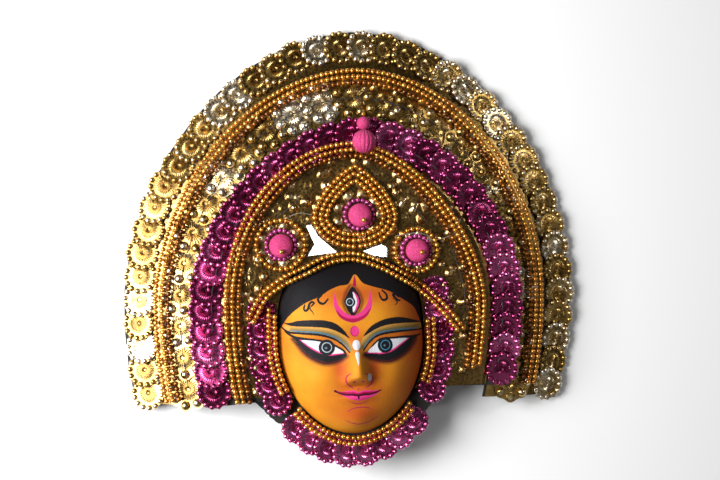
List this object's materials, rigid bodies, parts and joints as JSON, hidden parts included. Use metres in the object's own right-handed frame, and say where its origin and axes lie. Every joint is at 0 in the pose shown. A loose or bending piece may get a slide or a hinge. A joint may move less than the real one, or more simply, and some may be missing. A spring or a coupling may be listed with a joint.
{
  "type": "chhau dance mask",
  "caption": "Painted three-eyed face mask, hollow at the back, in a wide arched crown of stamped foil rosettes and strung beads, made to hang on a wall or be worn in a dance.",
  "frame": {"origin": "centre of the bounding box in plan, on the plane that the edge of the crown lies on", "axes": "+Z out of the face, +Y to the top of the crown, +X to the right as one looks at the face"},
  "size_m": [0.4738, 0.4552, 0.0975],
  "materials": {
    "painted_face": "painted papier-mache, satin varnish",
    "black_card": "matt black paint over cloth and card",
    "gold_foil": "metallised film, stamped and crinkled",
    "purple_foil": "metallised film, stamped",
    "gold_beads": "moulded beads, gold lacquer",
    "purple_beads": "moulded beads, metallic purple",
    "pink_fluff": "flocked thread over a wad, matt"
  },
  "bodies": {
    "root": {"chin_bead_string_1": "gold_beads", "chin_bead_string_2": "gold_beads", "chin_rosettes": "purple_foil", "face_shell": "painted_face", "finial_gold_bead": "gold_beads", "finial_large_ball": "pink_fluff", "finial_small_ball": "pink_fluff", "forehead_bead_string_1": "gold_beads", "forehead_bead_string_2": "gold_beads", "gold_rosette_band": "gold_foil", "gold_rosette_rim": "gold_foil", "inner_bead_string_1": "gold_beads", "inner_bead_string_2": "gold_beads", "inner_bead_string_3": "gold_beads", "inner_crown_board": "black_card", "inner_foil_sheet": "gold_foil", "left_cheek_bead_string_1": "gold_beads", "left_cheek_bead_string_2": "gold_beads", "left_medallion_bead_string": "gold_beads", "left_medallion_knob": "pink_fluff", "left_medallion_pin": "gold_beads", "left_medallion_plate": "gold_foil", "left_medallion_purple_ring": "purple_beads", "left_side_rosettes": "purple_foil", "outer_bead_string_1": "gold_beads", "outer_bead_string_2": "gold_beads", "outer_bead_string_3": "gold_beads", "outer_crown_board": "black_card", "pear_bead_string_1": "gold_beads", "pear_bead_string_2": "gold_beads", "pear_bead_string_3": "gold_beads", "pear_knob": "pink_fluff", "pear_pin": "gold_beads", "pear_plate": "gold_foil", "pear_purple_ring": "purple_beads", "purple_rosette_arch": "purple_foil", "right_cheek_bead_string_1": "gold_beads", "right_cheek_bead_string_2": "gold_beads", "right_medallion_bead_string": "gold_beads", "right_medallion_knob": "pink_fluff", "right_medallion_pin": "gold_beads", "right_medallion_plate": "gold_foil", "right_medallion_purple_ring": "purple_beads", "right_side_rosettes": "purple_foil"}
  },
  "joints": []
}
